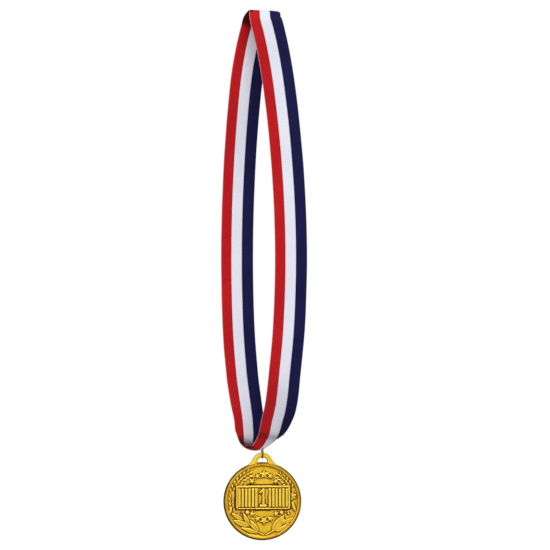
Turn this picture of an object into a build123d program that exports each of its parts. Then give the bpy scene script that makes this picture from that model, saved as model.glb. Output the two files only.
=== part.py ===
from build123d import *
import os
from math import cos, degrees, exp, floor, pi, radians, sin, tau

# A medal on a striped neck ribbon. Millimetres, +Z up, and the medal's front faces -Y.
# The origin is the inside of the ribbon's top fold, where the ribbon rests on a peg.

# Ribbon: one woven strip in three bands of colour, sewn into a loop by a lap joint.
RIBBON_WIDTH = 21.2
RIBBON_THICKNESS = 0.45
LOOP_HEIGHT = 290.0
FRONT_BULGE = 17.9
BACK_BULGE = 15.8
FRONT_TUCK = 0.7
BACK_TUCK = 1.8
TUCK_DEPTH = 28.0
RED_WHITE_LINE = -0.35
WHITE_NAVY_LINE = 0.30
BAND_GAP = 0.03
LAYER_GAP = 0.05
SECTION_STEP = 0.25

# Lap joint: places along the loop, counted in cross-sections from the top of the front strand.
LAP_INNER_END = 8.75
LAP_OUTER_END = 11.1
LAP_RAMP = (8.0, 8.6)
STITCH_ROWS = (9.1, 10.8)

# Thread: two rows of stitches close the lap joint.
THREAD_DIAMETER = 0.34
STITCH_LENGTH = 1.7
STITCHES_PER_ROW = 8
STITCH_CLEARANCE = 0.10

# Jump ring: round wire bent to a circle, with a narrow split.
WIRE_DIAMETER = 0.9
RING_DIAMETER = 10.0
RING_SPLIT = 0.25
HOLE_CLEARANCE = 0.10

# Medal: one casting with an eye on top.
MEDAL_DIAMETER = 50.8
MEDAL_THICKNESS = 3.2
MEDAL_CENTRE_Z = -318.6
RIM_WIDTH = 2.6
RIM_ROUNDING = 1.4
FIELD_DEPTH = 0.9
BACK_DEPTH = 0.6
EYE_THICKNESS = 2.4
EYE_TOP = 31.6
EYE_BASE = (9.6, 23.2)
EYE_FLARE = (7.2, 25.6)
EYE_SHOULDER = (6.1, 27.5)
EYE_HOLE_RADIUS = 3.25
EYE_HOLE_BOTTOM = 25.3
EYE_CHAMFER = 0.4
WIRE_PLAY = 0.12

# Relief on the medal's front.
PLAQUE_WIDTH = 35.8
PLAQUE_HEIGHT = 16.2
PLAQUE_CENTRE_X = 0.4
PLAQUE_CENTRE_Z = 2.3
PLAQUE_RAISE = 1.1
PLAQUE_BORDER = 1.35
PLAQUE_SUNK = 0.55
BAR_WIDTH = 1.9
BAR_HEIGHT = 12.2
BAR_PITCH = 2.2
BARS_EACH_SIDE = 6
FIRST_BAR_X = 4.45
LOW_BAR_SHARE = 0.72
STAR_COUNT = 16
STAR_RADIUS = 2.55
LARGE_STAR_RADIUS = 3.6
STAR_RAISE = 0.5
STAR_CENTRE_X = 1.0
STAR_OVAL_X = 11.0
STAR_OVAL_Z = 15.0
LEAF_LENGTH = 5.4
LEAF_WIDTH = 2.3
LEAF_RAISE = 0.5
LEAF_PAIRS = 10
LEAF_ANGLE = 27.0
WREATH_RADIUS = 20.0
WREATH_START = -80.0
WREATH_END = 58.0

# Worked out from the values above.
RING_RADIUS = (RING_DIAMETER - WIRE_DIAMETER) / 2
SWING_Z = MEDAL_CENTRE_Z + EYE_HOLE_BOTTOM + EYE_HOLE_RADIUS - WIRE_DIAMETER / 2 - WIRE_PLAY
RING_CENTRE_Z = SWING_Z + RING_RADIUS
FIELD_Y = MEDAL_THICKNESS / 2 - FIELD_DEPTH


# ---- Ribbon -------------------------------------------------------------------------------------

def strand_x(bulge, power, tuck, depth):
    """How far to the side a strand hangs at a depth below the fold, tucked in near the fold."""
    belly = bulge * sin(pi * (depth / LOOP_HEIGHT) ** 1.195) ** power
    return belly - tuck * exp(-(depth / TUCK_DEPTH) ** 2)


def strand_y(depth):
    """Half the distance between the two strands, front to back."""
    return 3.6 + 6.2 * sin(pi * depth / LOOP_HEIGHT) ** 0.9


def ribbon_stations():
    """Cross-sections round the loop: centre x, y, z, then heading, tilt and cup angle in degrees.

    Heading turns the width about Z, tilt lifts the navy edge, and cup is the arc the width bends to.
    """
    front = [(strand_x(FRONT_BULGE, 0.538, FRONT_TUCK, d), -strand_y(d), -d, heading, 0, cup)
             for d, heading, cup in ((5, 10, 12), (13, 7, 10), (28, 5, 12), (50, 5, 12), (85, 5, 12),
                                     (125, 4, 12), (165, 4, 12), (205, 4, 14), (235, 6, 18))]
    turn = [(11.6, -9.6, -255.0, 9, 0, 30),
            (9.1, -9.2, -266.0, 15, 3, 52),
            (6.0, -7.0, -277.0, 27, 12, 80),
            (0.0, -1.4, -284.8, 38, 12, 100),
            (-8.0, 3.0, -284.0, 32, -4, 96),
            (-8.4, 6.4, -274.5, 17, 0, 60),
            (-9.0, 7.8, -264.5, 14, 2, 48),
            (-10.9, 8.6, -250.0, 8, 1, 28),
            (-12.7, 9.2, -235.0, 5, 0, 18)]
    back = [(-strand_x(BACK_BULGE, 0.42, BACK_TUCK, d), strand_y(d), -d, heading, 0, cup)
            for d, heading, cup in ((205, 4, 14), (165, 4, 12), (125, 4, 12), (85, 5, 12),
                                    (50, 5, 12), (28, 6, 12), (13, 9, 10), (5, 10, 12))]
    fold = [(1.4, 0.0, RIBBON_THICKNESS / 2, 18, 0, 16)]
    return front + turn + back + fold


STATIONS = ribbon_stations()


def station_at(place):
    """The cross-section at any place along the loop, by Catmull-Rom through the stations."""
    first = floor(place)
    t = place - first
    a, b, c, d = (STATIONS[(first + step) % len(STATIONS)] for step in (-1, 0, 1, 2))
    return [(2 * q + (r - p) * t + (2 * p - 5 * q + 4 * r - s) * t ** 2
             + (3 * q - p - 3 * r + s) * t ** 3) / 2 for p, q, r, s in zip(a, b, c, d)]


def ribbon_point(place, across, offset):
    """A point on the ribbon: across runs from -1 (red edge) to 1 (navy edge), offset is outwards."""
    x, y, z, heading, tilt, cup = station_at(place)
    ahead = Vector(*station_at(place + 0.01)[:3])
    behind = Vector(*station_at(place - 0.01)[:3])
    along = (ahead - behind).normalized()
    heading, tilt, cup = radians(heading), radians(tilt), radians(cup)
    width = Vector(cos(heading) * cos(tilt), sin(heading) * cos(tilt), sin(tilt))
    width = (width - along * width.dot(along)).normalized()
    outward = along.cross(width)
    radius = RIBBON_WIDTH / cup
    angle = across * cup / 2
    arc = width * (radius * sin(angle)) - outward * (radius * (1 - cos(angle)))
    return Vector(x, y, z) + arc + (outward * cos(angle) + width * sin(angle)) * offset


def lap_offset(place):
    """How far the strip's outer end lifts to lie over its inner end."""
    start, end = LAP_RAMP
    rise = (place - len(STATIONS) - start) / (end - start)
    rise = min(max(rise, 0.0), 1.0)
    return (RIBBON_THICKNESS + LAYER_GAP) * rise * rise * (3 - 2 * rise)


def band_section(place, left, right):
    """The closed outline of one colour band, cut across the ribbon at one place."""
    outer = lap_offset(place) + RIBBON_THICKNESS / 2
    inner = outer - RIBBON_THICKNESS
    middle = (left + right) / 2
    top = [ribbon_point(place, across, outer) for across in (left, middle, right)]
    bottom = [ribbon_point(place, across, inner) for across in (right, middle, left)]
    return Wire([
        Edge.make_three_point_arc(*top),
        Edge.make_line(top[2], bottom[0]),
        Edge.make_three_point_arc(*bottom),
        Edge.make_line(bottom[2], top[0]),
    ])


def ribbon_band(left, right):
    """One colour band over the strip's whole length, pierced where the jump ring passes."""
    end = len(STATIONS) + LAP_OUTER_END
    steps = round((end - LAP_INNER_END) / SECTION_STEP)
    places = [LAP_INNER_END + (end - LAP_INNER_END) * n / steps for n in range(steps + 1)]
    band = Solid.make_loft([band_section(place, left, right) for place in places], ruled=True)
    return band - ring_torus(WIRE_DIAMETER / 2 + HOLE_CLEARANCE)


def ribbon_bands():
    """The three bands, with a hair's gap so that each is its own solid."""
    half_gap = BAND_GAP / RIBBON_WIDTH
    return {
        "ribbon_red_band": ribbon_band(-1.0, RED_WHITE_LINE - half_gap),
        "ribbon_white_band": ribbon_band(RED_WHITE_LINE + half_gap, WHITE_NAVY_LINE - half_gap),
        "ribbon_navy_band": ribbon_band(WHITE_NAVY_LINE + half_gap, 1.0),
    }


# ---- Thread -------------------------------------------------------------------------------------

def stitch(place, across, offset):
    """One stitch: a short straight length of thread, lying on the ribbon."""
    reach = STITCH_LENGTH / RIBBON_WIDTH
    start = ribbon_point(place, across - reach, offset)
    end = ribbon_point(place, across + reach, offset)
    return Solid.make_cylinder(
        THREAD_DIAMETER / 2, (end - start).length, Plane(start, z_dir=end - start)
    )


def stitch_rows(offset):
    """Both rows of stitches, on one face of the lap joint."""
    pitch = 2 / STITCHES_PER_ROW
    return Compound(children=[
        stitch(place, -1 + pitch * (n + 0.5), offset)
        for place in STITCH_ROWS for n in range(STITCHES_PER_ROW)
    ])


def stitching():
    """The thread on the lap's outer face and on its inner face."""
    lift = THREAD_DIAMETER / 2 + STITCH_CLEARANCE
    outer_face = RIBBON_THICKNESS * 1.5 + LAYER_GAP
    inner_face = -RIBBON_THICKNESS / 2
    return {
        "lap_stitches_front": stitch_rows(outer_face + lift),
        "lap_stitches_back": stitch_rows(inner_face - lift),
    }


# ---- Jump ring ----------------------------------------------------------------------------------

def ring_torus(tube_radius):
    """A whole ring round the jump ring's centre line, standing in the YZ plane."""
    return Pos(0, 0, RING_CENTRE_Z) * Rot(0, 90, 0) * Torus(RING_RADIUS, tube_radius)


def jump_ring():
    """The wire ring, with its split on the side that faces forwards and up."""
    split = Pos(0, 0, RING_CENTRE_Z) * Rot(-35, 0, 0) * Pos(0, -RING_RADIUS, 0) * Box(
        2 * WIRE_DIAMETER, 2 * WIRE_DIAMETER, RING_SPLIT
    )
    return ring_torus(WIRE_DIAMETER / 2) - split


# ---- Medal --------------------------------------------------------------------------------------
# Built round its own centre, in the XZ plane. Front face at -Y.

def medal_disc():
    """The round body: a rounded rim, with a sunk field on the front and on the back."""
    radius = MEDAL_DIAMETER / 2
    half = MEDAL_THICKNESS / 2
    inside = radius - RIM_WIDTH
    corner = RIM_ROUNDING
    bend = corner * (1 - sin(radians(45)))
    with BuildSketch() as profile:
        with BuildLine():
            Polyline((0, -FIELD_Y), (inside, -FIELD_Y), (inside + FIELD_DEPTH / 2, -half),
                     (radius - corner, -half))
            ThreePointArc((radius - corner, -half), (radius - bend, -half + bend),
                          (radius, -half + corner))
            Line((radius, -half + corner), (radius, half - corner))
            ThreePointArc((radius, half - corner), (radius - bend, half - bend),
                          (radius - corner, half))
            Polyline((radius - corner, half), (inside - 0.4, half),
                     (inside - 1.0, half - BACK_DEPTH), (0, half - BACK_DEPTH), (0, -FIELD_Y))
        make_face()
    return revolve(profile.sketch, Axis.Y)


def eye():
    """The hanging eye: an arch that flares into the disc, with a half-round hole."""
    left_base, left_flare, left_shoulder = ((-x, z) for x, z in (EYE_BASE, EYE_FLARE, EYE_SHOULDER))
    with BuildSketch(Plane.XZ) as outline:
        with BuildLine():
            Line(left_base, EYE_BASE)
            ThreePointArc(EYE_BASE, EYE_FLARE, EYE_SHOULDER)
            ThreePointArc(EYE_SHOULDER, (0, EYE_TOP), left_shoulder)
            ThreePointArc(left_shoulder, left_flare, left_base)
        make_face()
        with BuildLine():
            ThreePointArc((EYE_HOLE_RADIUS, EYE_HOLE_BOTTOM),
                          (0, EYE_HOLE_BOTTOM + EYE_HOLE_RADIUS),
                          (-EYE_HOLE_RADIUS, EYE_HOLE_BOTTOM))
            Line((-EYE_HOLE_RADIUS, EYE_HOLE_BOTTOM), (EYE_HOLE_RADIUS, EYE_HOLE_BOTTOM))
        make_face(mode=Mode.SUBTRACT)
    arch = extrude(outline.sketch.moved(Pos(0, EYE_THICKNESS / 2, 0)), EYE_THICKNESS)
    round_edges = arch.edges().filter_by(GeomType.CIRCLE)
    hole_edges = round_edges.filter_by(lambda edge: abs(edge.radius - EYE_HOLE_RADIUS) < 0.01)
    return chamfer(hole_edges, EYE_CHAMFER)


def on_field(sketch, raise_by):
    """Raise a sketch from the front field, starting a little below it so that it joins."""
    root = 0.2
    return extrude(Plane.XZ.offset(FIELD_Y - root) * sketch, raise_by + root)


def star_outline(radius):
    """A five-pointed star with one point along +X."""
    inner = radius * 0.45
    tips = [(radius if n % 2 == 0 else inner, n * pi / 5) for n in range(10)]
    return make_face(Polyline(*[(r * cos(a), r * sin(a)) for r, a in tips], close=True))


def stars():
    """An oval ring of stars that point outwards, with a larger star at the top and the bottom."""
    ring = []
    for n in range(STAR_COUNT):
        angle = pi / 2 + tau * n / STAR_COUNT
        x = STAR_CENTRE_X + STAR_OVAL_X * cos(angle)
        z = PLAQUE_CENTRE_Z + STAR_OVAL_Z * sin(angle)
        radius = LARGE_STAR_RADIUS if n in (0, STAR_COUNT // 2) else STAR_RADIUS
        star = Pos(x, z) * Rot(0, 0, degrees(angle)) * star_outline(radius)
        ring.append(on_field(star, STAR_RAISE))
    return ring


def leaf_outline():
    """A pointed leaf along +X, with its stalk at the origin."""
    tip = (LEAF_LENGTH, 0)
    upper = ThreePointArc((0, 0), (LEAF_LENGTH * 0.45, LEAF_WIDTH / 2), tip)
    lower = ThreePointArc(tip, (LEAF_LENGTH * 0.45, -LEAF_WIDTH / 2), (0, 0))
    return make_face(upper + lower)


def wreath():
    """Two laurel branches that rise from the bottom, each with leaves in pairs."""
    leaf = leaf_outline()
    leaves = []
    for n in range(LEAF_PAIRS):
        angle = WREATH_START + (WREATH_END - WREATH_START) * n / (LEAF_PAIRS - 1)
        x = WREATH_RADIUS * cos(radians(angle))
        z = WREATH_RADIUS * sin(radians(angle))
        for side in (-1, 1):
            turned = Pos(x, z) * Rot(0, 0, angle + 90 + side * LEAF_ANGLE) * leaf
            leaves.append(on_field(turned, LEAF_RAISE))
            leaves.append(on_field(mirror(turned, Plane.YZ), LEAF_RAISE))
    return leaves


def plaque():
    """The framed plate across the middle, with a plain numeral between upright bars."""
    centre = Pos(PLAQUE_CENTRE_X, PLAQUE_CENTRE_Z)
    plate = on_field(centre * Rectangle(PLAQUE_WIDTH, PLAQUE_HEIGHT), PLAQUE_RAISE)
    window = centre * Rectangle(PLAQUE_WIDTH - 2 * PLAQUE_BORDER, PLAQUE_HEIGHT - 2 * PLAQUE_BORDER)
    panel_y = FIELD_Y + PLAQUE_RAISE - PLAQUE_SUNK
    plate -= extrude(Plane.XZ.offset(panel_y) * window, PLAQUE_SUNK)
    root = 0.1
    panel = Plane.XZ.offset(panel_y - root)
    marks = [extrude(panel * (centre * numeral_one()), root + PLAQUE_SUNK)]
    for n in range(BARS_EACH_SIDE):
        bar_raise = PLAQUE_SUNK if n % 2 else PLAQUE_SUNK * LOW_BAR_SHARE
        for side in (-1, 1):
            place = centre * Pos(side * (FIRST_BAR_X + n * BAR_PITCH), 0)
            marks.append(extrude(panel * (place * Rectangle(BAR_WIDTH, BAR_HEIGHT)), root + bar_raise))
    return [plate] + marks


def numeral_one():
    """A plain figure one, round its own middle: a stem, a foot and a flag."""
    top = BAR_HEIGHT / 2
    foot = -BAR_HEIGHT / 2
    return make_face(Polyline(
        (-2.6, foot), (2.6, foot), (2.6, foot + 1.8), (1.1, foot + 1.8), (1.1, top), (-0.5, top),
        (-2.6, top - 2.4), (-2.6, top - 4.4), (-1.1, top - 3.2), (-1.1, foot + 1.8),
        (-2.6, foot + 1.8), close=True))


def medal_body():
    """The whole casting, in its hanging place."""
    rim_inside = MEDAL_DIAMETER / 2 - RIM_WIDTH
    inside_rim = Rot(90, 0, 0) * Cylinder(rim_inside + 0.2, 4 * MEDAL_THICKNESS)
    relief = [piece & inside_rim for piece in stars() + wreath()]
    body = medal_disc() + [eye()] + relief + plaque()
    return Pos(0, 0, MEDAL_CENTRE_Z) * body


def write_parts():
    os.makedirs("parts", exist_ok=True)
    nodes = {"medal_body": medal_body(), "jump_ring": jump_ring()}
    nodes.update(ribbon_bands())
    nodes.update(stitching())
    for name, shape in nodes.items():
        export_step(shape, f"parts/{name}.step")


write_parts()
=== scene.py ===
import math

import bmesh
import bpy
import numpy as np
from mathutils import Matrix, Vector


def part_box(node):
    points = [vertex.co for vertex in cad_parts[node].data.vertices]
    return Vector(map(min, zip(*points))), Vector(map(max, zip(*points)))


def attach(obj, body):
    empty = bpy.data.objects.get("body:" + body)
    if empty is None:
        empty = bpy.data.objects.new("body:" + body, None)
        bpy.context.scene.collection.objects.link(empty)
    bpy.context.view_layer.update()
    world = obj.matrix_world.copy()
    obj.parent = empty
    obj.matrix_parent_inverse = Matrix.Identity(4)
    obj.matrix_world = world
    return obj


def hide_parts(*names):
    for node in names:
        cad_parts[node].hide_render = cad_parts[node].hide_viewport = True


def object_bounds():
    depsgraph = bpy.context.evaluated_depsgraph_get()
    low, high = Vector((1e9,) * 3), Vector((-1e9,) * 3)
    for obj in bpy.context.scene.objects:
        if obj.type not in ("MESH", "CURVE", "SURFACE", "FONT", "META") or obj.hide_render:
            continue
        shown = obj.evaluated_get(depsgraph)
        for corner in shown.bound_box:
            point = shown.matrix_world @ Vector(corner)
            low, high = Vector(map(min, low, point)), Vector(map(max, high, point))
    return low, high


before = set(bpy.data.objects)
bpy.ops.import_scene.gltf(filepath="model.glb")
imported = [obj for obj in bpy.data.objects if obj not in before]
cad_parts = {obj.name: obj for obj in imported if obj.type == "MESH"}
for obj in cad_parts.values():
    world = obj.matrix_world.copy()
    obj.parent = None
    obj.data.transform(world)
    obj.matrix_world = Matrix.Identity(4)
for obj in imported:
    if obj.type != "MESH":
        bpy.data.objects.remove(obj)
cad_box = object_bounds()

# A medal on a striped neck ribbon. Shapes are worked out in millimetres in the CAD frame, and each
# mesh is scaled to metres as it is made. +Z is up, and the medal's front faces -Y.
MM = 0.001
RNG = np.random.default_rng(7)

# Ribbon
RIBBON_WIDTH = 21.2
RIBBON_THICKNESS = 0.45
RIBBON_ROW_STEP = 0.7
BAND_COLUMNS = 13
RED_WHITE_LINE = -0.35           # across the ribbon, from -1 at the red edge to 1 at the navy edge
WHITE_NAVY_LINE = 0.30
SELVAGE_ROUNDING = 0.035         # the rounded part of each edge, as a share of half the width

# The ribbon's loop
LOOP_HEIGHT = 290.0
FRONT_BULGE = 17.9
BACK_BULGE = 15.8
FRONT_FULLNESS = 0.538           # the lower it is, the squarer the strand's curve
BACK_FULLNESS = 0.42
BELLY_DROP = 1.195               # above 1, a strand is widest below its middle
FRONT_TUCK = 0.7                 # how far a strand is drawn in near the fold
BACK_TUCK = 1.8
TUCK_DEPTH = 28.0
TOP_HALF_GAP = 3.6               # half the distance between the strands, front to back
BELLY_HALF_GAP = 6.2
GAP_FULLNESS = 0.9

# The sewn lap. A place along the loop is counted in stations, see ribbon_stations
LAP_INNER_END = 8.75
LAP_OUTER_END = 11.1
LAP_RAMP = (8.0, 8.6)
LAYER_GAP = 0.05
STITCH_ROWS = (9.1, 10.8)
STITCHES_PER_ROW = 8
STITCH_LENGTH = 1.9
THREAD_RADIUS = 0.13

# Jump ring
WIRE_RADIUS = 0.45
WIRE_START = 147.5               # the wire's ends, in degrees from the ring's rear and up over its top
WIRE_END = 503.5
HOLE_RADIUS = 0.55

# Medal
MEDAL_RADIUS = 25.4
FIELD_RADIUS = 22.7
FIELD_Y = 0.7
BACK_FIELD_Y = 1.0
RELIEF_CELLS = 250


# ---- Numbers ------------------------------------------------------------------------------------

def unit(vectors):
    """The same directions, one long."""
    return vectors / np.linalg.norm(vectors, axis=-1, keepdims=True)


def smooth_step(values, low, high):
    """From 0 at low to 1 at high, with no corners."""
    t = np.clip((values - low) / (high - low), 0, 1)
    return t * t * (3 - 2 * t)


def polar(radius, degrees):
    """The point at a distance and an angle from the middle."""
    return radius * math.cos(math.radians(degrees)), radius * math.sin(math.radians(degrees))


def blur(values, reach, passes=2):
    """A box blur over a grid."""
    span = 2 * reach + 1
    for _ in range(passes):
        for axis in (0, 1):
            padding = [(reach + 1, reach) if k == axis else (0, 0) for k in (0, 1)]
            total = np.cumsum(np.pad(values, padding, mode="edge"), axis=axis)
            size = values.shape[axis]
            upper = np.take(total, range(span, span + size), axis)
            lower = np.take(total, range(size), axis)
            values = (upper - lower) / span
    return values


# ---- Meshes -------------------------------------------------------------------------------------

def new_object(name, points_mm, faces):
    """A smooth-shaded mesh object from points in millimetres."""
    mesh = bpy.data.meshes.new(name)
    mesh.from_pydata((np.asarray(points_mm, float) * MM).tolist(), [], faces)
    mesh.validate()
    mesh.update()
    mesh.polygons.foreach_set("use_smooth", [True] * len(mesh.polygons))
    obj = bpy.data.objects.new(name, mesh)
    bpy.context.scene.collection.objects.link(obj)
    return obj


def grid_faces(rows, columns, start=0, close=False):
    """Quads over a grid of points stored row by row. close joins the last column to the first."""
    faces = []
    for row in range(rows - 1):
        here = start + row * columns
        above = here + columns
        for column in range(columns if close else columns - 1):
            beside = (column + 1) % columns
            faces.append((here + column, here + beside, above + beside, above + column))
    return faces


def set_attribute(obj, name, values):
    """Store a value or a vector at each vertex, for a material to read."""
    values = np.asarray(values, np.float32)
    kind = "FLOAT" if values.ndim == 1 else "FLOAT_VECTOR"
    attribute = obj.data.attributes.new(name, kind, "POINT")
    key = "value" if values.ndim == 1 else "vector"
    attribute.data.foreach_set(key, values.ravel())


def fix_normals(obj):
    """Make every face look outwards."""
    work = bmesh.new()
    work.from_mesh(obj.data)
    bmesh.ops.recalc_face_normals(work, faces=work.faces)
    work.to_mesh(obj.data)
    work.free()


def boolean(obj, tool, operation):
    """Join a closed tool mesh to obj, or cut it away, and delete the tool."""
    step = obj.modifiers.new("cut", "BOOLEAN")
    step.operation = operation
    step.solver = "MANIFOLD"
    step.object = tool
    bpy.context.view_layer.objects.active = obj
    bpy.ops.object.modifier_apply(modifier=step.name)
    bpy.data.objects.remove(tool)


TUBE_CAPS = ((0.0, 0.35), (0.12, 0.72), (0.4, 0.94))   # shares of the radius: distance in, width


def tube(centres, radius, sides, closed=False):
    """Points and faces of a round tube along a line of centres, with rounded ends if open."""
    centres = np.asarray(centres, float)
    if closed:
        tangents = np.roll(centres, -1, 0) - np.roll(centres, 1, 0)
        radii = np.full(len(centres), radius)
    else:
        first, last = centres[0], centres[-1]
        ahead = (centres[1] - first) / np.linalg.norm(centres[1] - first)
        behind = (centres[-2] - last) / np.linalg.norm(centres[-2] - last)
        head = [first + ahead * radius * inward for inward, _ in TUBE_CAPS]
        tail = [last + behind * radius * inward for inward, _ in TUBE_CAPS[::-1]]
        centres = np.vstack([head, centres[1:-1], tail])
        tangents = np.gradient(centres, axis=0)
        radii = np.full(len(centres), radius)
        radii[:3] = [radius * width for _, width in TUBE_CAPS]
        radii[-3:] = [radius * width for _, width in TUBE_CAPS[::-1]]
    tangents /= np.linalg.norm(tangents, axis=1)[:, None]
    helper = np.array([1.0, 0, 0]) if abs(tangents[:, 0]).max() < 0.9 else np.array([0, 0, 1.0])
    side = np.cross(tangents, helper)
    side /= np.linalg.norm(side, axis=1)[:, None]
    up = np.cross(side, tangents)
    angle = np.linspace(0, math.tau, sides, endpoint=False)
    ring = side[:, None] * np.cos(angle)[None, :, None] + up[:, None] * np.sin(angle)[None, :, None]
    points = (centres[:, None] + ring * radii[:, None, None]).reshape(-1, 3)
    rows = len(centres)
    faces = grid_faces(rows, sides, close=True)
    if closed:
        last_row = (rows - 1) * sides
        faces += [(last_row + c, last_row + (c + 1) % sides, (c + 1) % sides, c) for c in range(sides)]
    else:
        faces.append(tuple(range(sides))[::-1])
        faces.append(tuple((rows - 1) * sides + c for c in range(sides)))
    return points, faces


def join_parts(parts):
    """Stack several (points, faces) pairs into one."""
    points, faces, start = [], [], 0
    for part_points, part_faces in parts:
        points.append(part_points)
        faces += [tuple(start + i for i in face) for face in part_faces]
        start += len(part_points)
    return np.vstack(points), faces


# ---- Ribbon -------------------------------------------------------------------------------------

def strand_x(bulge, fullness, tuck, depth):
    """How far to the side a strand hangs at a depth below the fold, tucked in near the fold."""
    belly = bulge * math.sin(math.pi * (depth / LOOP_HEIGHT) ** BELLY_DROP) ** fullness
    return belly - tuck * math.exp(-(depth / TUCK_DEPTH) ** 2)


def strand_y(depth):
    """Half the distance between the two strands, front to back."""
    return TOP_HALF_GAP + BELLY_HALF_GAP * math.sin(math.pi * depth / LOOP_HEIGHT) ** GAP_FULLNESS


def ribbon_stations():
    """Cross-sections round the loop: centre x, y, z, then heading, tilt and cup angle in degrees."""
    front_cuts = ((5, 10, 12), (13, 7, 10), (28, 5, 12), (50, 5, 12), (85, 5, 12),
                  (125, 4, 12), (165, 4, 12), (205, 4, 14), (235, 6, 18))
    front = [(strand_x(FRONT_BULGE, FRONT_FULLNESS, FRONT_TUCK, depth), -strand_y(depth), -depth,
              heading, 0, cup) for depth, heading, cup in front_cuts]
    turn = [(11.6, -9.6, -255.0, 9, 0, 30),
            (9.1, -9.2, -266.0, 15, 3, 52),
            (6.0, -7.0, -277.0, 27, 12, 80),
            (0.0, -1.4, -284.8, 38, 12, 100),
            (-8.0, 3.0, -284.0, 32, -4, 96),
            (-8.4, 6.4, -274.5, 17, 0, 60),
            (-9.0, 7.8, -264.5, 14, 2, 48),
            (-10.9, 8.6, -250.0, 8, 1, 28),
            (-12.7, 9.2, -235.0, 5, 0, 18)]
    back_cuts = ((205, 4, 14), (165, 4, 12), (125, 4, 12), (85, 5, 12),
                 (50, 5, 12), (28, 6, 12), (13, 9, 10), (5, 10, 12))
    back = [(-strand_x(BACK_BULGE, BACK_FULLNESS, BACK_TUCK, depth), strand_y(depth), -depth,
             heading, 0, cup) for depth, heading, cup in back_cuts]
    fold = [(1.4, 0.0, RIBBON_THICKNESS / 2, 18, 0, 16)]
    return np.array(front + turn + back + fold, float)


STATIONS = ribbon_stations()


def stations_at(place):
    """Cross-sections at places along the loop, by Catmull-Rom through the stations."""
    first = np.floor(place).astype(int)
    t = (place - first)[:, None]
    p, q, r, s = (STATIONS[(first + step) % len(STATIONS)] for step in (-1, 0, 1, 2))
    return (2 * q + (r - p) * t + (2 * p - 5 * q + 4 * r - s) * t ** 2
            + (3 * q - p - 3 * r + s) * t ** 3) / 2


def ribbon_points(place, across, offset):
    """Points on the ribbon, one row per place: across runs from -1 (red edge) to 1 (navy edge)."""
    station = stations_at(place)
    along = unit(stations_at(place + 0.01)[:, :3] - stations_at(place - 0.01)[:, :3])
    heading, tilt, cup = np.radians(station[:, 3:]).T
    width = np.stack([np.cos(heading) * np.cos(tilt), np.sin(heading) * np.cos(tilt),
                      np.sin(tilt)], 1)
    width = unit(width - along * (width * along).sum(1, keepdims=True))
    outward = np.cross(along, width)
    radius = (RIBBON_WIDTH / cup)[:, None, None]
    angle = (across[None, :] * cup[:, None] / 2)[:, :, None]
    width, outward = width[:, None, :], outward[:, None, :]
    arc = width * (radius * np.sin(angle)) - outward * (radius * (1 - np.cos(angle)))
    normal = outward * np.cos(angle) + width * np.sin(angle)
    return station[:, None, :3] + arc + normal * offset[:, :, None]


def lap_offset(place):
    """How far the strip's outer end lifts to lie over its inner end."""
    start, end = LAP_RAMP
    return (RIBBON_THICKNESS + LAYER_GAP) * smooth_step(place - len(STATIONS), start, end)


def ribbon_rows():
    """Evenly spaced places along the strip, and their distance along it in millimetres."""
    fine = np.linspace(LAP_INNER_END, len(STATIONS) + LAP_OUTER_END, 6000)
    centres = stations_at(fine)[:, :3]
    steps = np.linalg.norm(np.diff(centres, axis=0), axis=1)
    distance = np.concatenate([[0], np.cumsum(steps)])
    even = np.arange(0, distance[-1], RIBBON_ROW_STEP)
    even = np.append(even, distance[-1])
    return np.interp(even, distance, fine), even


# Height, stretch and start of each wave that runs along an edge
RED_EDGE_WAVES = ((0.10, 9.1, 0.6), (0.08, 4.7, 2.1), (0.05, 2.9, 0.0))
NAVY_EDGE_WAVES = ((0.10, 7.9, 1.9), (0.07, 5.3, 0.3))


def ribbon_ripple(distance, across):
    """The slight waves of soft cloth: the middle stays flat and the edges wander."""
    def wander(waves):
        return sum(height * np.sin(distance / stretch + start) for height, stretch, start in waves)

    red_edge, navy_edge = wander(RED_EDGE_WAVES), wander(NAVY_EDGE_WAVES)
    edge = np.where(across[None, :] < 0, red_edge[:, None], navy_edge[:, None])
    return edge * across[None, :] ** 2


def near(place, centre, reach):
    """One at a place on the loop, falling smoothly to nothing on both sides."""
    full = len(STATIONS)
    return np.exp(-(((place - centre + full / 2) % full - full / 2) / reach) ** 2)


# Painted shade on the cloth where it creases or turns away from the light: darkness, place round the
# loop and reach
PAINTED_SHADES_OUTSIDE = ((0.05, 1.5, 1.6), (0.30, 10.95, 0.22))
PAINTED_SHADE_UNDER_TURN = (0.88, 12.65, 0.5)
PAINTED_SHADES_INSIDE = ((0.92, 13.2, 0.42), (0.08, 21.2, 0.9))
# Painted shade: the lap is coloured a little darker than the rest, and the hollow under the fold is
# painted dark
LAP_PAINTED_SHADE = 0.24
LAP_DARKENS = (7.6, 8.8)
LAP_LIGHTENS = (11.3, 11.9)
FOLD_PAINTED_SHADE = 0.85
FOLD_DARKENS = (23.95, 24.4)
FOLD_LIGHTENS = (0.5, 1.1)


def ribbon_painted_shade(place, across):
    """Painted shade: how much darker the cloth is coloured where it is sewn, creased or folded away
    from the light.

    One row per place, first for the outer face and then for the inner face.
    """
    loop = (place % len(STATIONS))[:, None]
    red_side = (1 - across[None, :]) / 2
    outer = LAP_PAINTED_SHADE * smooth_step(loop, *LAP_DARKENS) * (1 - smooth_step(loop, *LAP_LIGHTENS))
    for darkness, centre, reach in PAINTED_SHADES_OUTSIDE:
        outer = outer + darkness * near(loop, centre, reach)
    darkness, centre, reach = PAINTED_SHADE_UNDER_TURN
    outer = outer + darkness * near(loop, centre, reach) * red_side
    inner = FOLD_PAINTED_SHADE * (smooth_step(loop, *FOLD_DARKENS) + 1 - smooth_step(loop, *FOLD_LIGHTENS))
    for darkness, centre, reach in PAINTED_SHADES_INSIDE:
        inner = inner + darkness * near(loop, centre, reach)
    return np.clip(outer, 0, 1), np.clip(np.broadcast_to(inner, outer.shape), 0, 1)


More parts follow.
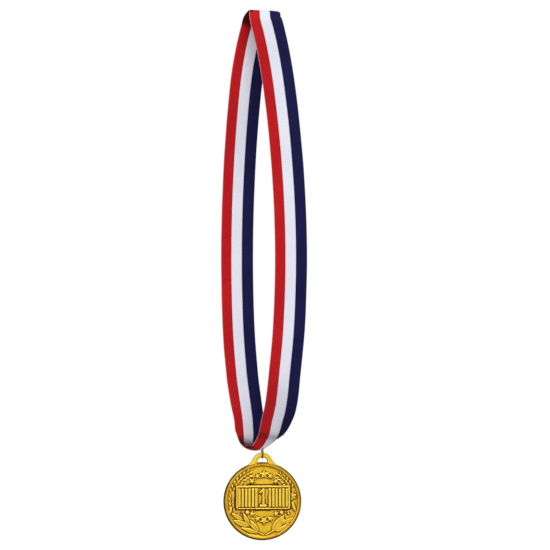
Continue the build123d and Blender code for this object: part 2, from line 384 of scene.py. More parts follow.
def ribbon_band(name, left, right):
    """One colour band as a thin closed strip, rounded where it has a free edge."""
    place, distance = ribbon_rows()
    across = np.linspace(left, right, BAND_COLUMNS)
    edge = np.clip((1 - np.abs(across)) / SELVAGE_ROUNDING, 0, 1)
    half = RIBBON_THICKNESS / 2 * np.sqrt(1 - (1 - edge) ** 2 * 0.98)
    middle = lap_offset(place)[:, None] + ribbon_ripple(distance, across)
    outer = ribbon_points(place, across, middle + half[None, :])
    inner = ribbon_points(place, across, middle - half[None, :])
    rows = len(place)
    ring = np.concatenate([outer, inner[:, ::-1]], axis=1)
    points = ring.reshape(-1, 3)
    count = 2 * BAND_COLUMNS
    faces = grid_faces(rows, count, close=True)
    for row in (0, rows - 1):
        cap = [(row * count + c, row * count + c + 1, row * count + count - 2 - c,
                row * count + count - 1 - c) for c in range(BAND_COLUMNS - 1)]
        faces += [face[::-1] for face in cap] if row else cap
    obj = new_object(name, points, faces)
    both = np.concatenate([across, across[::-1]])
    weave = np.zeros((rows, count, 3))
    weave[:, :, 0] = both[None, :] * RIBBON_WIDTH / 2
    weave[:, :, 1] = distance[:, None]
    set_attribute(obj, "weave", weave.reshape(-1, 3))
    # Painted shade at each vertex, outer face then inner face, which the material uses to darken the
    # cloth
    painted_shade_outer, painted_shade_inner = ribbon_painted_shade(place, across)
    set_attribute(obj, "shade", np.concatenate([painted_shade_outer, painted_shade_inner[:, ::-1]], axis=1).ravel())
    fix_normals(obj)
    return obj


def ring_line(count, start=0.0, end=360.0, closed=True):
    """Points round the jump ring's centre line, standing in the YZ plane."""
    low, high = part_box("jump_ring")
    centre = (low + high) / 2 / MM
    radius = (high.z - low.z) / 2 / MM - WIRE_RADIUS
    angle = np.radians(np.linspace(start, end, count, endpoint=not closed))
    return np.stack([np.full(count, centre.x), centre.y + radius * np.cos(angle),
                     centre.z + radius * np.sin(angle)], 1)


def pierce(band):
    """Open the two small holes that the jump ring passes through."""
    points, faces = tube(ring_line(72), HOLE_RADIUS, sides=14, closed=True)
    cutter = new_object("ring_hole_cutter", points, faces)
    fix_normals(cutter)
    boolean(band, cutter, "DIFFERENCE")


def stitch_line(place, across, offset):
    """The line of one stitch: it dives into the cloth at both ends."""
    reach = STITCH_LENGTH / RIBBON_WIDTH
    steps = np.linspace(-1, 1, 9)
    lift = THREAD_RADIUS * (1.25 - 2.1 * np.abs(steps) ** 5)
    spots = across + reach * steps
    sign = 1 if offset > 0 else -1
    return ribbon_points(np.array([place]), spots, (offset + sign * lift)[None, :])[0]


def stitches(name, offset):
    """Two rows of stitches across one face of the lap joint."""
    pitch = 2 / STITCHES_PER_ROW
    parts = [tube(stitch_line(place, -1 + pitch * (n + 0.5), offset), THREAD_RADIUS, sides=8)
             for place in STITCH_ROWS for n in range(STITCHES_PER_ROW)]
    obj = new_object(name, *join_parts(parts))
    centres = -1 + pitch * (np.arange(len(parts)) % STITCHES_PER_ROW + 0.5)
    weave = np.zeros((len(parts), len(parts[0][0]), 3))
    weave[:, :, 0] = centres[:, None] * RIBBON_WIDTH / 2
    set_attribute(obj, "weave", weave.reshape(-1, 3))
    fix_normals(obj)
    return obj


# ---- Medal relief: heights in millimetres above the sunk field, x to the right and z up ----------

def leaf_height(x, z, leaf, height=0.5):
    """A pointed leaf with steep sides, a softly domed top, a cut midrib and slanting veins."""
    (base_x, base_z), (tip_x, tip_z), width = leaf
    length = math.hypot(tip_x - base_x, tip_z - base_z)
    ahead_x, ahead_z = (tip_x - base_x) / length, (tip_z - base_z) / length
    u = ((x - base_x) * ahead_x + (z - base_z) * ahead_z) / length
    v = np.abs((z - base_z) * ahead_x - (x - base_x) * ahead_z)
    share = np.clip(u, 1e-4, 1 - 1e-4)
    half = width / 2 * np.sin(math.pi * share ** 0.85) ** 0.75
    side = smooth_step(half - v, -0.02, 0.30)
    crown = np.sqrt(np.clip(1 - (v / np.maximum(half, 0.01)) ** 2, 0, 1))
    dome = 0.50 + 0.22 * share + 0.28 * crown
    midrib = 0.5 * np.exp(-(v / 0.16) ** 2) * (1 - share)
    veins = 0.10 * np.cos(math.tau * (share * length - v) / 0.95) if width > 2 else 0.0
    return np.where((u > 0) & (u < 1), height * side * (dome - midrib + veins), 0)


def star_height(x, z, centre, radius, turn, height=0.55):
    """A five-pointed star with steep sides and ridges from its middle to its tips."""
    dx, dz = x - centre[0], z - centre[1]
    sector = math.tau / 5
    angle = (np.arctan2(dz, dx) - turn + sector / 2) % sector - sector / 2
    distance = np.hypot(dx, dz)
    along, aside = distance * np.cos(angle), distance * np.abs(np.sin(angle))
    notch = radius * 0.45
    notch_x, notch_z = notch * math.cos(sector / 2), notch * math.sin(sector / 2)
    edge_x = radius - notch_x
    edge_length = math.hypot(edge_x, notch_z)
    depth = (notch_z * edge_x - (along - notch_x) * notch_z - aside * edge_x) / edge_length
    full = radius * notch_z / edge_length
    return height * (0.6 * smooth_step(depth, -0.02, 0.28) + 0.4 * np.clip(depth / full, 0, 1))


def bead_height(x, z, centre, radius, height=0.6):
    """A half-round berry."""
    reach = np.hypot(x - centre[0], z - centre[1]) / radius
    return height * np.sqrt(np.clip(1 - reach ** 2, 0, 1))


def stroke_height(x, z, points, width, height=0.35):
    """A rounded ridge along a line of points, such as a stem."""
    best = np.full(x.shape, 1e9)
    for (ax, az), (bx, bz) in zip(points[:-1], points[1:]):
        dx, dz = bx - ax, bz - az
        t = np.clip(((x - ax) * dx + (z - az) * dz) / (dx * dx + dz * dz), 0, 1)
        best = np.minimum(best, np.hypot(x - ax - t * dx, z - az - t * dz))
    return height * np.sqrt(np.clip(1 - (2 * best / width) ** 2, 0, 1))


def box_inset(x, z, centre, half_x, half_z):
    """How far inside a rectangle a point is. Negative is outside."""
    return np.minimum(half_x - np.abs(x - centre[0]), half_z - np.abs(z - centre[1]))


LEAF_STEP = 7.6                  # degrees between the wreath's small leaves


def wreath_leaves(first, last, radii, length=2.9, width=1.3):
    """Rows of small leaves along an arc of the wreath, fanned apart and pointing from first to last."""
    leaves = []
    way = 1 if last > first else -1
    for row, radius in enumerate(radii):
        lean = 30 * (row - (len(radii) - 1) / 2)
        for n in range(int(abs(last - first) / LEAF_STEP) + 1):
            angle = first + way * LEAF_STEP * (n + 0.5 * (row % 2))
            base = polar(radius, angle)
            heading = math.radians(angle + way * (90 - lean))
            size = length * (0.9 + 0.05 * ((n * 7 + row * 3) % 5))
            tip = (base[0] + size * math.cos(heading), base[1] + size * math.sin(heading))
            leaves.append((base, tip, width))
    return leaves


LARGE_LEAVES = (                 # where each leaf starts and ends, and its width
    ((-2.6, -19.6), (-8.2, -12.0), 3.4),
    ((-8.6, -15.8), (-12.6, -7.2), 3.0),
    ((-8.8, -16.3), (-19.3, -12.2), 3.7),
    ((-12.6, -12.2), (-20.6, -7.6), 3.0),
    ((-3.2, -20.6), (-14.2, -17.0), 2.8),
    ((6.4, -19.3), (13.0, -9.6), 4.6),
    ((8.2, -19.4), (17.8, -15.8), 3.0),
    ((12.0, -15.8), (13.8, -9.0), 2.4),
    ((13.4, -14.4), (21.0, -10.6), 2.9),
    ((12.8, -16.4), (20.0, -14.2), 2.0),
    ((19.4, -0.6), (21.7, -7.2), 2.3),
    ((-20.2, -3.4), (-21.4, -8.6), 1.9),
)
SMALL_LEAVES = (wreath_leaves(24, 60, (18.5, 20.0, 21.2))
                + wreath_leaves(164, 118, (18.5, 20.0, 21.2))
                + wreath_leaves(200, 172, (19.6, 21.0), 2.5))
BERRIES = (((-9.8, -7.3), 1.45), ((12.5, -7.5), 1.35), ((-15.6, -8.2), 0.8), ((17.0, -8.2), 0.8),
           ((15.0, -6.9), 0.6), ((-13.4, -7.2), 0.6))
STEMS = (((0.6, -21.9), (-3.2, -19.9), (-6.4, -17.2), (-8.8, -14.2), (-10.8, -10.6)),
         ((2.2, -21.9), (5.8, -19.9), (9.4, -18.0), (12.4, -15.4), (14.6, -12.2)))
ROSETTE = (19.5, 3.3)
ROSETTE_PETALS = 6
PETAL_LENGTH = 2.9

STAR_CENTRE = (1.0, 2.4)
STAR_OVAL = (11.0, 15.0)
STAR_COUNT = 16
STAR_RADIUS = 2.55
TOP_STAR_RADIUS = 3.6

PLAQUE_CENTRE = (0.4, 2.3)
PLAQUE_HALF = (17.9, 8.1)
PLAQUE_RAISE = 1.1
PLAQUE_BORDER = 1.35
PANEL_SUNK = 0.55
BAR_HALF = (0.98, 6.1)
BAR_PITCH = 2.2
BAR_FIRST = 4.45
BARS_PER_SIDE = 6
LOW_BAR_SHARE = 0.72             # every other bar stands this much lower


def rosette_height(x, z):
    """A small flower: pointed petals round a bead."""
    h = bead_height(x, z, ROSETTE, 0.9, 0.8)
    for n in range(ROSETTE_PETALS):
        ahead_x, ahead_z = polar(PETAL_LENGTH, 360 / ROSETTE_PETALS * n + 20)
        petal = (ROSETTE, (ROSETTE[0] + ahead_x, ROSETTE[1] + ahead_z), 1.9)
        h = np.maximum(h, leaf_height(x, z, petal, 0.6))
    return h


def stars_height(x, z):
    """An oval ring of stars that point outwards, larger at the top and the bottom."""
    h = np.zeros(x.shape)
    for n in range(STAR_COUNT):
        turn = math.tau * n / STAR_COUNT + math.pi / 2
        centre = (STAR_CENTRE[0] + STAR_OVAL[0] * math.cos(turn),
                  STAR_CENTRE[1] + STAR_OVAL[1] * math.sin(turn))
        size = TOP_STAR_RADIUS if n in (0, STAR_COUNT // 2) else STAR_RADIUS
        h = np.maximum(h, star_height(x, z, centre, size, turn))
    return h


def relief_height(x, z):
    """The whole front relief."""
    h = 0.12 * smooth_step(np.hypot(x, z), 22.3, 22.7)
    for stem in STEMS:
        h = np.maximum(h, stroke_height(x, z, stem, 1.0, 0.42))
    for leaf in SMALL_LEAVES:
        h = np.maximum(h, leaf_height(x, z, leaf, 0.42))
    for leaf in LARGE_LEAVES:
        h = np.maximum(h, leaf_height(x, z, leaf))
    for centre, size in BERRIES:
        h = np.maximum(h, bead_height(x, z, centre, size))
    h = np.maximum(h, rosette_height(x, z))
    h = np.maximum(h, stars_height(x, z))
    return plaque_height(x, z, h)


# The figure one, from the plaque's centre: the stem's and the foot's middles and half sizes
NUMERAL_STEM = ((0.2, 0.0), (0.95, 6.1))
NUMERAL_FOOT = ((0.1, -5.2), (2.5, 0.9))
NUMERAL_FLAG_TOP = (-0.3, 5.0)
NUMERAL_FLAG_REACH = (-3.0, 1.0)
NUMERAL_FLAG_HALF_WIDTH = 0.8


def numeral_inset(x, z):
    """How far inside the figure one a point is. Its flag slants at 45 degrees."""
    across, up = x - PLAQUE_CENTRE[0], z - PLAQUE_CENTRE[1]
    stem, foot = (box_inset(across, up, middle, *half) for middle, half in (NUMERAL_STEM, NUMERAL_FOOT))
    flag_x, flag_z = across - NUMERAL_FLAG_TOP[0], up - NUMERAL_FLAG_TOP[1]
    along, aside = (flag_x + flag_z) / math.sqrt(2), (flag_z - flag_x) / math.sqrt(2)
    low, high = NUMERAL_FLAG_REACH
    flag = np.minimum(np.minimum(high - along, along - low), NUMERAL_FLAG_HALF_WIDTH - np.abs(aside))
    return np.maximum(np.maximum(stem, foot), flag)


def plaque_height(x, z, h):
    """The framed plate: sloping sides, a sunk panel, a plain numeral and upright fluted bars."""
    inside = box_inset(x, z, PLAQUE_CENTRE, *PLAQUE_HALF)
    slope = np.where(z < PLAQUE_CENTRE[1] - PLAQUE_HALF[1] + 1.2, 1.1, 0.35)
    plate = PLAQUE_RAISE * smooth_step(inside, 0, slope)
    plate -= PANEL_SUNK * smooth_step(inside, PLAQUE_BORDER, PLAQUE_BORDER + 0.25)
    marks = smooth_step(numeral_inset(x, z), 0, 0.3)
    for side in (-1, 1):
        for n in range(BARS_PER_SIDE):
            middle = PLAQUE_CENTRE[0] + side * (BAR_FIRST + BAR_PITCH * n)
            bar = box_inset(x, z, (middle, PLAQUE_CENTRE[1]), *BAR_HALF)
            bar_height = 1.0 if n % 2 else LOW_BAR_SHARE
            marks = np.maximum(marks, bar_height * smooth_step(bar, 0, 0.25))
    plate += PANEL_SUNK * marks
    return np.where(inside > 0, plate, h)


def disc_grid():
    """A square grid bent onto a disc of radius 1, with evenly spaced points on its edge."""
    line = np.linspace(-1, 1, RELIEF_CELLS + 1)
    a, b = np.meshgrid(line, line)
    wide = np.abs(a) >= np.abs(b)
    eighth = math.pi / 4
    with np.errstate(divide="ignore", invalid="ignore"):
        turn = np.where(wide, eighth * np.nan_to_num(b / a),
                        2 * eighth - eighth * np.nan_to_num(a / b))
    radius = np.where(wide, a, b)
    return radius * np.cos(turn), radius * np.sin(turn)


def grid_border(side):
    """The grid's edge points in order round the disc, starting from the 45 degree corner."""
    last = side - 1
    top = [last * side + c for c in range(last, 0, -1)]
    left = [r * side for r in range(last, 0, -1)]
    bottom = list(range(last))
    right = [r * side + last for r in range(last)]
    return top + left + bottom + right


def rim_profile():
    """The rim's radius, Y and shade, from the front field's edge round to the back field's edge."""
    # Patina in the hollow at the field's edge, then painted shade on the rim's flat
    front = [(22.78, -0.98, -0.45), (22.88, -1.22, -0.2), (23.05, -1.44, 0.0),
             (23.35, -1.56, -0.05), (23.7, -1.6, -0.13)]
    # Painted shade: the rounded outer edge is coloured darker towards the side, down to the disc's edge
    corner = [(23.9 + 1.5 * math.sin(t), -0.1 - 1.5 * math.cos(t), -0.15 - 0.7 * min(t, 0.85))
              for t in np.linspace(0.1, 1.57, 10)]
    edge = [(25.4, 0.0, -0.3)]
    back_corner = [(r, -y, shade) for r, y, shade in corner[::-1]]
    back = [(23.7, 1.6, 0.2), (22.5, 1.6, 0.1), (22.2, 1.52, 0.0), (21.95, 1.1, -0.4),
            (21.7, 1.0, -0.2), (18.5, 1.0, 0.0), (18.3, 0.9, -0.4), (18.0, 0.9, -0.4),
            (17.8, 1.0, 0.1), (12.0, 1.0, 0.0), (6.0, 1.0, 0.0)]
    return np.array(front + corner + edge + back_corner + back)


CAST_WAVES = 0.035               # the casting's slow waves and its grit
CAST_GRIT = 0.008
CAVITY_SPAN = 0.13               # how much deeper than its surroundings the darkest hollow is


def medal_front():
    """The front field's grid of points, and how deep or proud each one is beside its neighbours."""
    grid_x, grid_z = disc_grid()
    x, z = grid_x * FIELD_RADIUS, grid_z * FIELD_RADIUS
    height = relief_height(x, z)
    waves = blur(RNG.normal(0, 1, x.shape), 3) * CAST_WAVES
    grit = blur(RNG.normal(0, 1, x.shape), 1, 1) * CAST_GRIT
    inside_rim = smooth_step(22.3 - np.hypot(x, z), 0, 0.6)
    height = blur(height, 1, 1) * 0.55 + height * 0.45 + (waves + grit) * inside_rim
    cavity = (height - blur(height, 3)) / CAVITY_SPAN
    points = np.stack([x, -(FIELD_Y + height), z], -1)
    return points.reshape(-1, 3), cavity.ravel()


def medal_disc():
    """The disc: a finely cut front relief, sewn to a turned rim and back."""
    front, cavity = medal_front()
    side = RELIEF_CELLS + 1
    faces = grid_faces(side, side)
    profile = rim_profile()
    count = 4 * RELIEF_CELLS
    turn = (np.arange(count) / count) * math.tau + math.pi / 4
    rings = np.array([[(r * math.cos(a), y, r * math.sin(a)) for a in turn] for r, y, _ in profile])
    start = len(front)
    points = np.vstack([front, rings.reshape(-1, 3), [[0, BACK_FIELD_Y, 0]]])
    border = grid_border(side)
    after = [(c + 1) % count for c in range(count)]
    faces += [(border[c], border[after[c]], start + after[c], start + c) for c in range(count)]
    faces += grid_faces(len(profile), count, start=start, close=True)
    last = start + (len(profile) - 1) * count
    hub = len(points) - 1
    faces += [(last + c, last + after[c], hub) for c in range(count)]
    # The relief's hollows and crests, then the rim's patina and painted shade
    shade = np.concatenate([cavity, np.repeat(profile[:, 2], count), [0.0]])
    return points, faces, shade


EYE_OUTLINE = ((9.9, 23.2), (8.9, 24.2), (7.6, 25.25), (6.7, 26.4), (6.0, 27.8), (5.25, 29.15),
               (4.2, 30.25), (2.7, 31.15), (1.3, 31.52), (0.0, 31.6))
EYE_HOLE_RADIUS = 3.25
EYE_HOLE_BOTTOM = 25.3
EYE_HALF_THICKNESS = 1.2
EYE_LEG_SHARE = 0.22             # each leg's part of the whole arch
EYE_LEG_DEPTH = 2.2
EYE_SECTIONS = 61
EYE_SIDES = 24
EYE_SHADE = 0.3                  # worn brighter than the disc


def eye_shape():
    """The hanging eye: an arch with rounded edges whose legs flare into the disc."""
    half = np.array(EYE_OUTLINE)
    outer = np.vstack([half * (-1, 1), half[-2::-1]])
    reach = np.concatenate([[0], np.cumsum(np.linalg.norm(np.diff(outer, axis=0), axis=1))])
    reach /= reach[-1]
    sections = np.linspace(0, 1, EYE_SECTIONS)
    outer = np.stack([np.interp(sections, reach, outer[:, k]) for k in (0, 1)], 1)
    for _ in range(3):
        outer[1:-1] = (outer[:-2] + 2 * outer[1:-1] + outer[2:]) / 4
    leg = EYE_LEG_SHARE
    turn = math.pi * (1 - np.clip((sections - leg) / (1 - 2 * leg), 0, 1))
    below = np.clip(np.maximum(leg - sections, sections - 1 + leg) / leg, 0, 1)
    inner = np.stack([EYE_HOLE_RADIUS * np.cos(turn),
                      EYE_HOLE_BOTTOM + EYE_HOLE_RADIUS * np.sin(turn) - EYE_LEG_DEPTH * below], 1)
    angle = np.linspace(0, math.tau, EYE_SIDES, endpoint=False)
    across = (1 + np.sign(np.cos(angle)) * np.abs(np.cos(angle)) ** 0.5) / 2
    y = EYE_HALF_THICKNESS * np.sign(np.sin(angle)) * np.abs(np.sin(angle)) ** 0.5
    points = np.zeros((EYE_SECTIONS, EYE_SIDES, 3))
    points[:, :, 0] = inner[:, :1] + (outer - inner)[:, :1] * across
    points[:, :, 1] = y
    points[:, :, 2] = inner[:, 1:] + (outer - inner)[:, 1:] * across
    faces = grid_faces(EYE_SECTIONS, EYE_SIDES, close=True)
    faces.append(tuple(range(EYE_SIDES))[::-1])
    faces.append(tuple((EYE_SECTIONS - 1) * EYE_SIDES + c for c in range(EYE_SIDES)))
    return points.reshape(-1, 3), faces


def medal_centre_z():
    """The disc's centre height: one radius above the CAD medal's lowest point."""
    low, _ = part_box("medal_body")
    return low.z / MM + MEDAL_RADIUS


def medal_mesh():
    """The disc and the eye in one closed mesh. Its "cavity" runs from -1 in hollows to 1 on crests,
    with painted shade on the rim.
    """
    points, faces, shade = medal_disc()
    lift = np.array([0, 0, medal_centre_z()])
    medal = new_object("medal", points + lift, faces)
    set_attribute(medal, "cavity", np.clip(shade, -1, 1))
    fix_normals(medal)
    eye_points, eye_faces = eye_shape()
    eye = new_object("eye_arch", eye_points + lift, eye_faces)
    fix_normals(eye)
    set_attribute(eye, "cavity", np.full(len(eye.data.vertices), EYE_SHADE))
    boolean(medal, eye, "UNION")
    return medal


# ---- Materials ----------------------------------------------------------------------------------

class Nodes:
    """A short way to build the node tree of a material or of the world."""

    def __init__(self, owner):
        owner.use_nodes = True
        self.owner = owner
        self.tree = owner.node_tree

    def add(self, kind, inputs=None, **settings):
        """A node with its settings, and with values or other nodes' outputs fed to its inputs."""
        node = self.tree.nodes.new(kind)
        for key, value in settings.items():
            setattr(node, key, value)
        for key, value in (inputs or {}).items():
            self.feed(node.inputs[key], value)
        return node

    def feed(self, socket, value):
        """Link another node's output to an input, or set the input's own value."""
        if isinstance(value, bpy.types.NodeSocket):
            self.tree.links.new(value, socket)
        else:
            socket.default_value = value

    def math(self, operation, first, second=0.0, clamp=False):
        node = self.add("ShaderNodeMath", {0: first, 1: second}, operation=operation, use_clamp=clamp)
        return node.outputs[0]

    def ramp(self, factor, stops):
        """A colour for each level from 0 to 1. stops holds (level, colour) pairs."""
        node = self.add("ShaderNodeValToRGB", {"Fac": factor})
        elements = node.color_ramp.elements
        while len(elements) < len(stops):
            elements.new(0.5)
        for element, (place, color) in zip(elements, stops):
            element.position = place
            element.color = (*color, 1)
        return node.outputs["Color"]

    def mix(self, factor, first, second):
        """Two colours mixed by a factor from 0 to 1."""
        node = self.add("ShaderNodeMix", data_type="RGBA")
        self.feed(node.inputs["Factor"], factor)
        self.feed(node.inputs["A"], first)
        self.feed(node.inputs["B"], second)
        return node.outputs["Result"]

    def noise(self, scale, detail, vector):
        inputs = {"Scale": scale, "Detail": detail, "Roughness": 0.5, "Vector": vector}
        return self.add("ShaderNodeTexNoise", inputs).outputs["Fac"]

    def bump(self, height, strength, distance):
        inputs = {"Height": height, "Strength": strength, "Distance": distance}
        return self.add("ShaderNodeBump", inputs).outputs["Normal"]

    def position(self):
        return self.add("ShaderNodeNewGeometry").outputs["Position"]

    def attribute(self, name, output="Fac"):
        return self.add("ShaderNodeAttribute", attribute_name=name).outputs[output]

    def smooth_range(self, value, low, high, least, most):
        """From least where the value is low to most where it is high, with no corners."""
        inputs = {"Value": value, "From Min": low, "From Max": high, "To Min": least, "To Max": most}
        return self.add("ShaderNodeMapRange", inputs, interpolation_type="SMOOTHSTEP").outputs[0]

    def surface(self, **values):
        """Feed the material's surface shader, and return the finished material."""
        shader = self.tree.nodes["Principled BSDF"]
        for key, value in values.items():
            self.feed(shader.inputs[key.replace("_", " ")], value)
        return self.owner


def material_nodes(name):
    """The node tree of a new material."""
    return Nodes(bpy.data.materials.new(name))


def gray(level):
    """A colour without a hue."""
    return (level, level, level)


def gold_material():
    """Antique gold: bright high points, a brown wash in the hollows, fine casting texture."""
    n = material_nodes("antique_gold")
    # Besides patina in the hollows, the cavity attribute carries painted shade on the rim, which this
    # ramp turns dark brown
    cavity = n.attribute("cavity")
    spot = n.position()
    patch = n.noise(260, 4, spot)
    grain = n.noise(2600, 3, spot)
    uneven = n.math("MULTIPLY", n.math("SUBTRACT", patch, 0.5), 0.22)
    level = n.math("ADD", n.math("MULTIPLY", cavity, 0.5), 0.5)
    level = n.math("ADD", level, uneven, clamp=True)
    gold = n.ramp(level, [(0.0, (0.06, 0.020, 0.001)), (0.22, (0.20, 0.08, 0.004)),
                          (0.40, (0.56, 0.305, 0.016)), (0.52, (0.73, 0.465, 0.030)),
                          (1.0, (0.86, 0.60, 0.085))])
    rough = n.ramp(level, [(0.0, gray(0.7)), (0.45, gray(0.4)), (1.0, gray(0.3))])
    rough = n.math("ADD", rough, n.math("MULTIPLY", n.math("SUBTRACT", grain, 0.5), 0.12))
    metal = n.ramp(level, [(0.0, gray(0.5)), (0.35, gray(1.0))])
    normal = n.bump(grain, 0.15, 0.00004)
    return n.surface(Base_Color=gold, Metallic=metal, Roughness=rough, Normal=normal)


def wire_material():
    """Dull brass-plated wire with patches of wear and a fine drawn texture."""
    n = material_nodes("dull_brass_wire")
    spot = n.position()
    wear = n.noise(900, 4, spot)
    fine = n.noise(6000, 2, spot)
    color = n.ramp(wear, [(0.3, (0.11, 0.10, 0.065)), (0.6, (0.30, 0.27, 0.16)),
                          (0.8, (0.44, 0.38, 0.22))])
    rough = n.math("ADD", n.math("MULTIPLY", fine, 0.25), 0.25)
    return n.surface(Base_Color=color, Metallic=1.0, Roughness=rough, Normal=n.bump(fine, 0.2, 0.00003))


RIB_PITCH = 0.62
THREAD_PITCH = 0.36
SELVAGE_WIDTH = 0.42
# The near black that painted shade darkens the cloth towards
PAINTED_SHADE_COLOR = (0.004, 0.002, 0.003, 1)


def ribbon_material(name, dark, base, light, edge_color=None, edge_at=None):
    """Ribbed satin weave: weft ribs across the strip, fine warp threads along it.

    edge_at is -1 or 1 for the side that has a paler selvage.
    """
    n = material_nodes(name)
    weave = n.attribute("weave", "Vector")
    split = n.add("ShaderNodeSeparateXYZ", {0: weave})
    across, along = split.outputs[0], split.outputs[1]
    rib_turn = n.math("MULTIPLY", along, math.tau / RIB_PITCH)
    thread_turn = n.math("MULTIPLY", across, math.tau / THREAD_PITCH)
    stagger = n.math("MULTIPLY", n.math("SINE", thread_turn), 1.1)
    ribs = n.math("ADD", n.math("MULTIPLY", n.math("SINE", n.math("ADD", rib_turn, stagger)), 0.5), 0.5)
    threads = n.math("ADD", n.math("MULTIPLY", n.math("SINE", thread_turn), 0.5), 0.5)
    streak_space = n.add("ShaderNodeVectorMath", {0: weave, 1: (0.12, 2.4, 1.0)}, operation="MULTIPLY")
    streaks = n.noise(1.0, 3, streak_space.outputs[0])
    warp_space = n.add("ShaderNodeVectorMath", {0: weave, 1: (3.0, 0.05, 1.0)}, operation="MULTIPLY")
    warps = n.noise(1.0, 2, warp_space.outputs[0])
    broad = n.noise(0.045, 2, weave)
    tone = n.math("ADD", n.math("MULTIPLY", ribs, 0.16), n.math("MULTIPLY", streaks, 0.42))
    tone = n.math("ADD", tone, n.math("MULTIPLY", warps, 0.22))
    tone = n.math("ADD", tone, n.math("MULTIPLY", broad, 0.28), clamp=True)
    color = n.ramp(tone, [(0.32, dark), (0.54, base), (0.78, light)])
    if edge_color is not None:
        outwards = n.math("MULTIPLY", across, edge_at)
        selvage = n.math("SUBTRACT", outwards, RIBBON_WIDTH / 2 - SELVAGE_WIDTH)
        selvage = n.math("MULTIPLY", selvage, 6.0, clamp=True)
        loops = n.math("ADD", n.math("MULTIPLY", ribs, 0.5), 0.35)
        broken = n.math("MULTIPLY", selvage, loops, clamp=True)
        color = n.mix(broken, color, (*edge_color, 1))
    # Painted shade: the cloth is mixed towards near black as far as the shade attribute says
    color = n.mix(n.attribute("shade"), color, PAINTED_SHADE_COLOR)
    relief = n.math("ADD", n.math("MULTIPLY", ribs, 0.8), n.math("MULTIPLY", threads, 0.2))
    normal = n.bump(relief, 0.45, 0.00012)
    rough = n.math("ADD", n.math("MULTIPLY", streaks, 0.2), 0.46)
    return n.surface(Base_Color=color, Roughness=rough, Normal=normal, Specular_IOR_Level=0.05)


def thread_material():
    """Clear nylon thread, which takes the colour of the band under it and adds a little shine."""
    n = material_nodes("clear_nylon")
    weave = n.attribute("weave", "Vector")
    across = n.add("ShaderNodeSeparateXYZ", {0: weave}).outputs[0]
    past_red = n.math("GREATER_THAN", across, RED_WHITE_LINE * RIBBON_WIDTH / 2)
    past_white = n.math("GREATER_THAN", across, WHITE_NAVY_LINE * RIBBON_WIDTH / 2)
    color = n.mix(past_red, (0.50, 0.016, 0.020, 1), (0.76, 0.77, 0.86, 1))
    color = n.mix(past_white, color, (0.016, 0.016, 0.075, 1))
    twist = n.noise(3000, 2, n.position())
    normal = n.bump(twist, 0.2, 0.00003)
    return n.surface(Base_Color=color, Roughness=0.3, Normal=normal, Specular_IOR_Level=0.2)


# ---- Build --------------------------------------------------------------------------------------

def paint(obj, material):
    """Make this the object's only material."""
    obj.data.materials.clear()
    obj.data.materials.append(material)


def stand_in(piece, body, node, material):
    """Let a finished piece ride on a body and stand for a CAD node."""
    paint(piece, material)
    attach(piece, body)
    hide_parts(node)


BANDS = (
    ("ribbon_red", "ribbon_red_band", "ribbon_red", -1.0, RED_WHITE_LINE,
     ribbon_material("red_weave", (0.40, 0.006, 0.010), (0.50, 0.010, 0.013), (0.58, 0.015, 0.019),
                     edge_color=(0.82, 0.50, 0.50), edge_at=-1.0)),
    ("ribbon_white", "ribbon_white_band", "ribbon_white", RED_WHITE_LINE, WHITE_NAVY_LINE,
     ribbon_material("white_weave", (0.70, 0.72, 0.83), (0.79, 0.80, 0.90), (0.85, 0.86, 0.93))),
    ("ribbon_navy", "ribbon_navy_band", "ribbon_navy", WHITE_NAVY_LINE, 1.0,
     ribbon_material("navy_weave", (0.006, 0.006, 0.040), (0.009, 0.009, 0.058), (0.014, 0.014, 0.085),
                     edge_color=(0.06, 0.06, 0.20), edge_at=1.0)),
)


def build_ribbon():
    """The three woven bands, with the ring's holes in them."""
    for name, node, slot, left, right, material in BANDS:
        band = ribbon_band(name, left, right)
        pierce(band)
        stand_in(band, "ribbon", node, material)


def build_stitching():
    """The stitches on both faces of the lap."""
    material = thread_material()
    outer = RIBBON_THICKNESS * 1.5 + LAYER_GAP
    inner = -RIBBON_THICKNESS / 2
    for name, node, offset in (("stitches_front", "lap_stitches_front", outer),
                               ("stitches_back", "lap_stitches_back", inner)):
        stand_in(stitches(name, offset), "ribbon", node, material)


def build_ring():
    """The split wire ring."""
    line = ring_line(120, WIRE_START, WIRE_END, closed=False)
    points, faces = tube(line, WIRE_RADIUS, sides=24)
    ring = new_object("wire_ring", points, faces)
    fix_normals(ring)
    stand_in(ring, "ring", "jump_ring", wire_material())


def build_medal():
    """The gold medal with its eye."""
    stand_in(medal_mesh(), "medal", "medal_body", gold_material())


# ---- Stage --------------------------------------------------------------------------------------

# The room that the metal mirrors is dark, with a bright front and a softer glow at the rear
ROOM_DARK = 0.05
ROOM_BRIGHT = 0.95
ROOM_BRIGHT_SIDE = (0.40, -0.82, 0.41)
ROOM_BRIGHT_SPAN = (-0.25, 0.75)  # cosines of the angle from that side where it fades out and is full
ROOM_REAR = 0.7
ROOM_REAR_SIDE = (0.25, 0.97, 0.0)
ROOM_REAR_SPAN = (0.4, 0.9)
# The light that reaches everything else
ROOM_ABOVE = 0.70
ROOM_BELOW = 0.12

FLOOR_DROP = 0.12
FLOOR_GLOW = 0.9
FLOOR_REACH = 1.5

LIGHT_AIM = Vector((0, 0, -0.2))
# Name, place, size in metres and power in watts
LIGHTS = (("key", (0.3, -0.95, 1.3), 0.8, 12.5),
          ("fill", (-0.5, -1.5, 0.1), 1.0, 4.5))

CAMERA_AZIMUTH = math.radians(-5)
CAMERA_DISTANCE = 3.0
CAMERA_AIM = Vector((0.00826, 0, -0.1716))
CAMERA_FIELD = 0.3575            # the picture's width and height at the object
SENSOR_WIDTH = 36


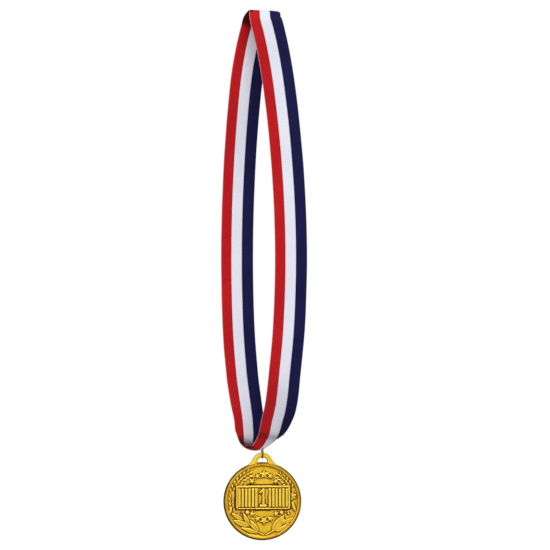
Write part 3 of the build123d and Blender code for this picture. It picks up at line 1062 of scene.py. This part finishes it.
def build_floor():
    """A plain pale floor, a little below the object."""
    z = cad_box[0][2] - FLOOR_DROP
    corners = [(x, y, z) for y in (-FLOOR_REACH, FLOOR_REACH) for x in (-FLOOR_REACH, FLOOR_REACH)]
    floor = new_object("floor", np.array(corners) / MM, [(0, 1, 3, 2)])
    n = material_nodes("pale_floor")
    paper = n.noise(40, 3, n.position())
    color = n.ramp(paper, [(0.3, gray(0.90)), (0.7, gray(0.94))])
    seen = n.add("ShaderNodeLightPath").outputs["Is Camera Ray"]
    glow = n.math("MULTIPLY", seen, FLOOR_GLOW)
    paint(floor, n.surface(Base_Color=color, Roughness=0.9, Emission_Color=(1, 1, 1, 1),
                           Emission_Strength=glow))
    floor.visible_glossy = False


def add_light(name, place, size, power):
    """A soft square light that faces the object's middle."""
    data = bpy.data.lights.new(name, "AREA")
    data.size = size
    data.energy = power
    light = bpy.data.objects.new(name, data)
    light.location = place
    light.rotation_euler = (LIGHT_AIM - Vector(place)).to_track_quat("-Z", "Y").to_euler()
    bpy.context.scene.collection.objects.link(light)


def build_world():
    """White for the camera, the mirrored room for metal's reflections, soft light for the rest."""
    world = bpy.data.worlds.new("studio")
    bpy.context.scene.world = world
    n = Nodes(world)
    n.tree.nodes.clear()
    toward = n.add("ShaderNodeTexCoord").outputs["Generated"]

    def facing(side):
        product = n.add("ShaderNodeVectorMath", {0: toward, 1: Vector(side)}, operation="DOT_PRODUCT")
        return product.outputs["Value"]

    front = n.smooth_range(facing(ROOM_BRIGHT_SIDE), *ROOM_BRIGHT_SPAN, ROOM_DARK, ROOM_BRIGHT)
    rear = n.smooth_range(facing(ROOM_REAR_SIDE), *ROOM_REAR_SPAN, 0.0, ROOM_REAR)
    mirrored = n.math("MAXIMUM", front, rear)
    height = n.add("ShaderNodeSeparateXYZ", {0: toward}).outputs["Z"]
    soft = n.add("ShaderNodeMapRange", {"Value": height, "From Min": -1.0, "To Min": ROOM_BELOW,
                                        "To Max": ROOM_ABOVE}).outputs[0]
    path = n.add("ShaderNodeLightPath").outputs
    room = n.add("ShaderNodeMix", {"Factor": path["Is Glossy Ray"], "A": soft, "B": mirrored})
    level = n.add("ShaderNodeMix", {"Factor": path["Is Camera Ray"], "A": room.outputs[0], "B": 1.0})
    background = n.add("ShaderNodeBackground", {"Color": (1, 1, 1, 1), "Strength": level.outputs[0]})
    n.add("ShaderNodeOutputWorld", {"Surface": background.outputs[0]})


def build_camera():
    """Straight on at mid height, a little from the left, far away with a long lens."""
    back = Vector((math.sin(CAMERA_AZIMUTH), -math.cos(CAMERA_AZIMUTH), 0))
    data = bpy.data.cameras.new("camera")
    data.sensor_width = SENSOR_WIDTH
    data.lens = SENSOR_WIDTH * CAMERA_DISTANCE / CAMERA_FIELD
    camera = bpy.data.objects.new("camera", data)
    camera.location = CAMERA_AIM + back * CAMERA_DISTANCE
    camera.rotation_euler = (-back).to_track_quat("-Z", "Y").to_euler()
    bpy.context.scene.collection.objects.link(camera)
    bpy.context.scene.camera = camera


build_ribbon()
build_stitching()
build_ring()
build_medal()
build_floor()
build_world()
for light in LIGHTS:
    add_light(*light)
build_camera()
bpy.context.scene.view_settings.view_transform = "Standard"
